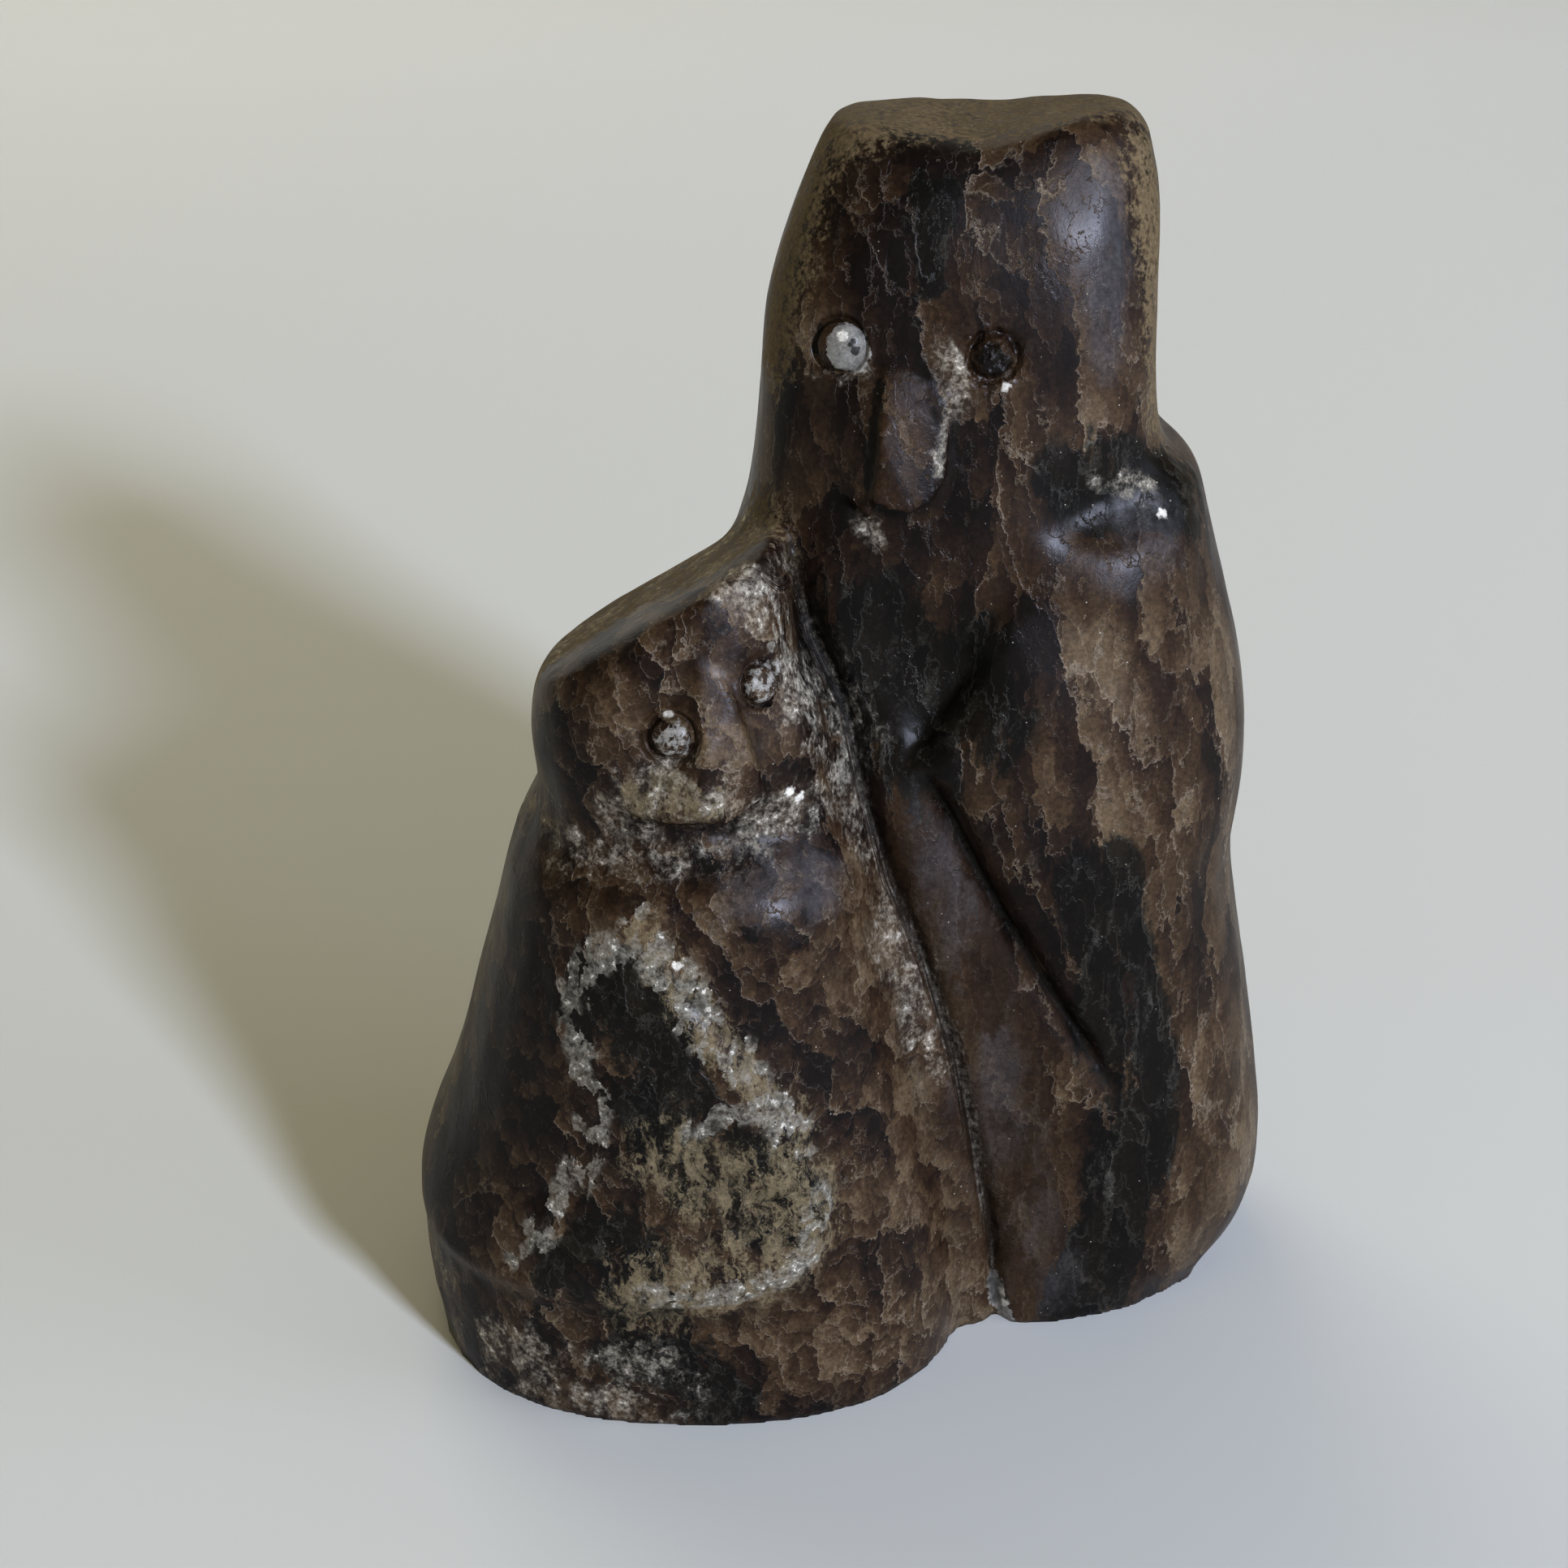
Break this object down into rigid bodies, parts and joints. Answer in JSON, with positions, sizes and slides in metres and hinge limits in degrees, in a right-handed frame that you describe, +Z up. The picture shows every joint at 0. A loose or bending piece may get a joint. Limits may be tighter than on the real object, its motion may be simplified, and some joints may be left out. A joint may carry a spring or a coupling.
{
  "type": "bird carving",
  "caption": "Stone carving of a tall flat-topped bird with a folded wing and a young bird leaning against it, cut from one block that stands on its flat sawn underside.",
  "frame": {"origin": "middle of the footprint's box, on the flat underside", "axes": "+Z up, the birds face -Y, the young bird is on the -X side"},
  "size_m": [0.1456, 0.0936, 0.1998],
  "materials": {
    "soapstone": "dark brown crystalline soapstone, rubbed to a satin polish, with dusty grooves"
  },
  "bodies": {
    "root": {"soapstone_birds": "soapstone"}
  },
  "joints": []
}
